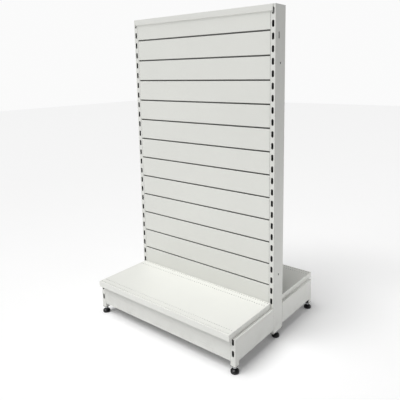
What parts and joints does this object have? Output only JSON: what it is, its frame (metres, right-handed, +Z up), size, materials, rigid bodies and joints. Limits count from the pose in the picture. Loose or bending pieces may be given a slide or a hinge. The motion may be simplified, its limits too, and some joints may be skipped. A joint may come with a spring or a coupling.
{
  "type": "slatwall gondola bay",
  "caption": "Double-sided shop display bay: slotted uprights, metal slatted walls front and rear, perforated base decks and levelling feet.",
  "frame": {"origin": "on the floor at the middle of the bay, midway between the two faces", "axes": "+Z up, X along the bay, -Y the front face; the bay is the same from front and rear"},
  "size_m": [0.836, 0.72, 1.464],
  "materials": {
    "cream_paint": "satin off-white powder coat",
    "slat_paint": "satin off-white powder coat",
    "deck_paint": "satin off-white powder coat",
    "zinc_steel": "bright zinc plate",
    "black_plastic": "glossy black moulded plastic",
    "grey_plastic": "light grey moulded plastic"
  },
  "bodies": {
    "root": {"upright_right": "cream_paint", "upright_left": "cream_paint", "base_leg_front_right": "cream_paint", "base_leg_front_left": "cream_paint", "base_leg_rear_left": "cream_paint", "base_leg_rear_right": "cream_paint", "kick_plate_front": "cream_paint", "kick_plate_rear": "cream_paint", "slat_front_01": "slat_paint", "slat_front_02": "slat_paint", "slat_front_03": "slat_paint", "slat_front_04": "slat_paint", "slat_front_05": "slat_paint", "slat_front_06": "slat_paint", "slat_front_07": "slat_paint", "slat_front_08": "slat_paint", "slat_front_09": "slat_paint", "slat_front_10": "slat_paint", "slat_front_11": "slat_paint", "slat_front_12": "slat_paint", "slat_front_13": "slat_paint", "slat_rear_01": "slat_paint", "slat_rear_02": "slat_paint", "slat_rear_03": "slat_paint", "slat_rear_04": "slat_paint", "slat_rear_05": "slat_paint", "slat_rear_06": "slat_paint", "slat_rear_07": "slat_paint", "slat_rear_08": "slat_paint", "slat_rear_09": "slat_paint", "slat_rear_10": "slat_paint", "slat_rear_11": "slat_paint", "slat_rear_12": "slat_paint", "slat_rear_13": "slat_paint", "tie_beam_lower": "cream_paint", "tie_beam_upper": "cream_paint", "beam_bolts": "zinc_steel", "beam_nuts": "zinc_steel", "top_cap": "cream_paint", "slat_rails": "cream_paint", "centre_mullion": "cream_paint", "post_plugs": "grey_plastic", "foot_inserts": "black_plastic"},
    "deck_front": {"deck_front": "deck_paint", "deck_stiffener_front": "cream_paint"},
    "deck_rear": {"deck_rear": "deck_paint", "deck_stiffener_rear": "cream_paint"},
    "foot_pad_front_left": {"foot_pad_front_left": "black_plastic"},
    "foot_stud_front_left": {"foot_stud_front_left": "zinc_steel"},
    "foot_pad_front_right": {"foot_pad_front_right": "black_plastic"},
    "foot_stud_front_right": {"foot_stud_front_right": "zinc_steel"},
    "foot_pad_middle_left": {"foot_pad_middle_left": "black_plastic"},
    "foot_stud_middle_left": {"foot_stud_middle_left": "zinc_steel"},
    "foot_pad_middle_right": {"foot_pad_middle_right": "black_plastic"},
    "foot_stud_middle_right": {"foot_stud_middle_right": "zinc_steel"},
    "foot_pad_rear_left": {"foot_pad_rear_left": "black_plastic"},
    "foot_stud_rear_left": {"foot_stud_rear_left": "zinc_steel"},
    "foot_pad_rear_right": {"foot_pad_rear_right": "black_plastic"},
    "foot_stud_rear_right": {"foot_stud_rear_right": "zinc_steel"}
  },
  "joints": [
    {"name": "deck_front_lift", "type": "slide", "parent": "root", "child": "deck_front", "axis": [0, 0, 1], "range_m": [0, 0.08]},
    {"name": "deck_rear_lift", "type": "slide", "parent": "root", "child": "deck_rear", "axis": [0, 0, 1], "range_m": [0, 0.08]},
    {"name": "foot_front_left_height", "type": "slide", "parent": "root", "child": "foot_pad_front_left", "axis": [0, 0, 1], "range_m": [-0.02, 0]},
    {"name": "foot_front_left_turn", "type": "hinge", "parent": "foot_pad_front_left", "child": "foot_stud_front_left", "pos_m": [-0.4, -0.3235, 0.009], "axis": [0, 0, 1], "range_deg": [-4801, 0]},
    {"name": "foot_front_right_height", "type": "slide", "parent": "root", "child": "foot_pad_front_right", "axis": [0, 0, 1], "range_m": [-0.02, 0]},
    {"name": "foot_front_right_turn", "type": "hinge", "parent": "foot_pad_front_right", "child": "foot_stud_front_right", "pos_m": [0.4, -0.3235, 0.009], "axis": [0, 0, 1], "range_deg": [-4801, 0]},
    {"name": "foot_middle_left_height", "type": "slide", "parent": "root", "child": "foot_pad_middle_left", "axis": [0, 0, 1], "range_m": [-0.02, 0]},
    {"name": "foot_middle_left_turn", "type": "hinge", "parent": "foot_pad_middle_left", "child": "foot_stud_middle_left", "pos_m": [-0.4, 0, 0.009], "axis": [0, 0, 1], "range_deg": [-4801, 0]},
    {"name": "foot_middle_right_height", "type": "slide", "parent": "root", "child": "foot_pad_middle_right", "axis": [0, 0, 1], "range_m": [-0.02, 0]},
    {"name": "foot_middle_right_turn", "type": "hinge", "parent": "foot_pad_middle_right", "child": "foot_stud_middle_right", "pos_m": [0.4, 0, 0.009], "axis": [0, 0, 1], "range_deg": [-4801, 0]},
    {"name": "foot_rear_left_height", "type": "slide", "parent": "root", "child": "foot_pad_rear_left", "axis": [0, 0, 1], "range_m": [-0.02, 0]},
    {"name": "foot_rear_left_turn", "type": "hinge", "parent": "foot_pad_rear_left", "child": "foot_stud_rear_left", "pos_m": [-0.4, 0.3235, 0.009], "axis": [0, 0, 1], "range_deg": [-4801, 0]},
    {"name": "foot_rear_right_height", "type": "slide", "parent": "root", "child": "foot_pad_rear_right", "axis": [0, 0, 1], "range_m": [-0.02, 0]},
    {"name": "foot_rear_right_turn", "type": "hinge", "parent": "foot_pad_rear_right", "child": "foot_stud_rear_right", "pos_m": [0.4, 0.3235, 0.009], "axis": [0, 0, 1], "range_deg": [-4801, 0]}
  ],
  "couplings": [
    {"joint": "foot_front_left_turn", "follows": "foot_front_left_height", "rad_per_m": 4188.8},
    {"joint": "foot_front_right_turn", "follows": "foot_front_right_height", "rad_per_m": 4188.8},
    {"joint": "foot_middle_left_turn", "follows": "foot_middle_left_height", "rad_per_m": 4188.8},
    {"joint": "foot_middle_right_turn", "follows": "foot_middle_right_height", "rad_per_m": 4188.8},
    {"joint": "foot_rear_left_turn", "follows": "foot_rear_left_height", "rad_per_m": 4188.8},
    {"joint": "foot_rear_right_turn", "follows": "foot_rear_right_height", "rad_per_m": 4188.8}
  ]
}
